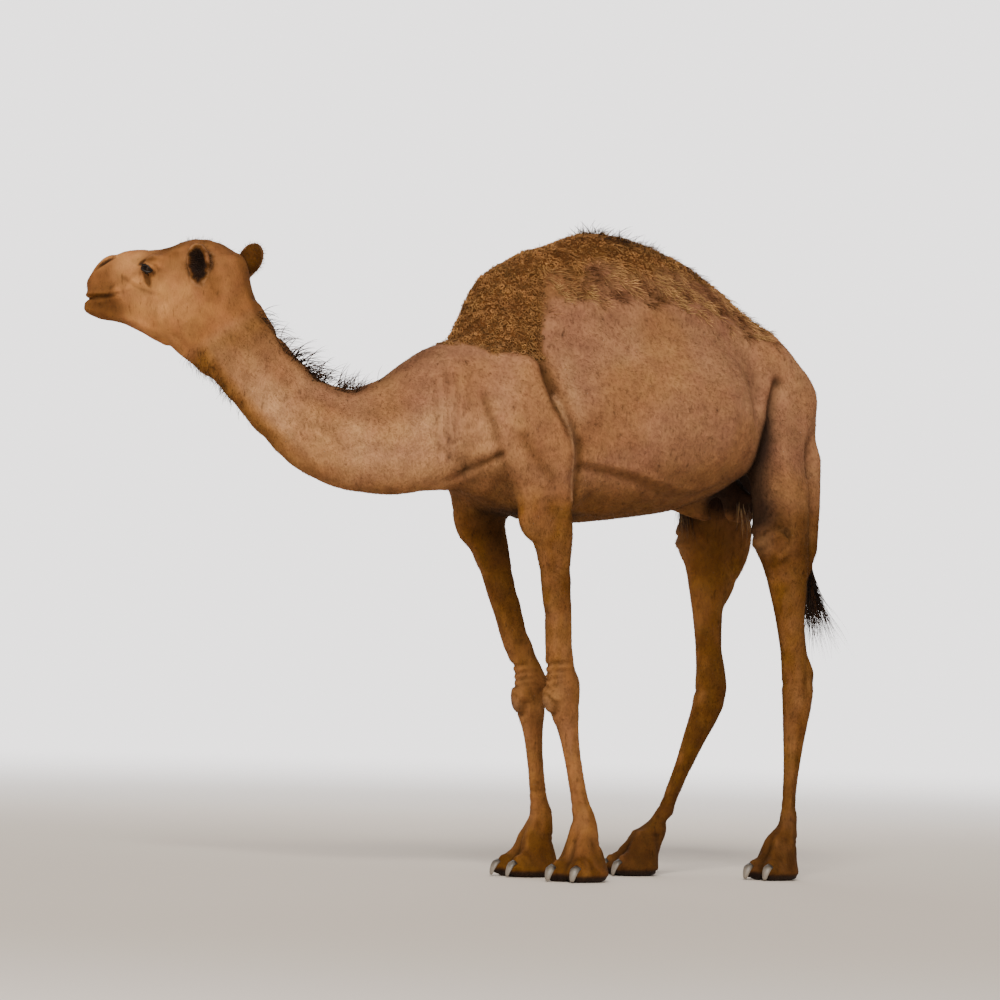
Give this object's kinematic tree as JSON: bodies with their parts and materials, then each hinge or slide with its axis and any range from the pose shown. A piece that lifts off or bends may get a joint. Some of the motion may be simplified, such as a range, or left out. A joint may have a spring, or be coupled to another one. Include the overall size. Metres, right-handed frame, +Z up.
{
  "type": "standing one-humped camel",
  "caption": "Life-size one-humped camel standing with a low curved neck and its head raised and turned aside, with short hair, curly wool on the hump, a dark mane and a tufted tail.",
  "frame": {"origin": "on the ground, under the middle of the bounding box", "axes": "+Z up, the trunk faces -X, the camel's left side is -Y"},
  "size_m": [2.5279, 1.1556, 2.1286],
  "materials": {
    "coat": "short sandy brown hair, lying flat",
    "wool": "curly golden-brown wool with dark roots",
    "dark_hair": "coarse dark brown hair",
    "eye": "wet dark brown",
    "horn": "worn pale horn",
    "callus": "dry horny skin"
  },
  "bodies": {
    "root": {"head": "coat", "ear_left": "coat", "ear_right": "coat", "eye_left": "eye", "eye_right": "eye", "neck_upper": "coat", "neck_middle": "coat", "neck_lower": "coat", "hump": "wool", "trunk": "coat", "tail": "coat", "tail_tuft": "dark_hair", "sheath": "coat", "breast_pad": "callus", "foreleg_left_forearm": "coat", "foreleg_left_cannon": "coat", "foreleg_left_foot": "coat", "foreleg_left_nail_inner": "horn", "foreleg_left_nail_outer": "horn", "hindleg_left_thigh": "coat", "hindleg_left_shank": "coat", "hindleg_left_cannon": "coat", "hindleg_left_foot": "coat", "hindleg_left_nail_inner": "horn", "hindleg_left_nail_outer": "horn", "foreleg_right_forearm": "coat", "foreleg_right_cannon": "coat", "foreleg_right_foot": "coat", "foreleg_right_nail_inner": "horn", "foreleg_right_nail_outer": "horn", "hindleg_right_thigh": "coat", "hindleg_right_shank": "coat", "hindleg_right_cannon": "coat", "hindleg_right_foot": "coat", "hindleg_right_nail_inner": "horn", "hindleg_right_nail_outer": "horn"}
  },
  "joints": []
}
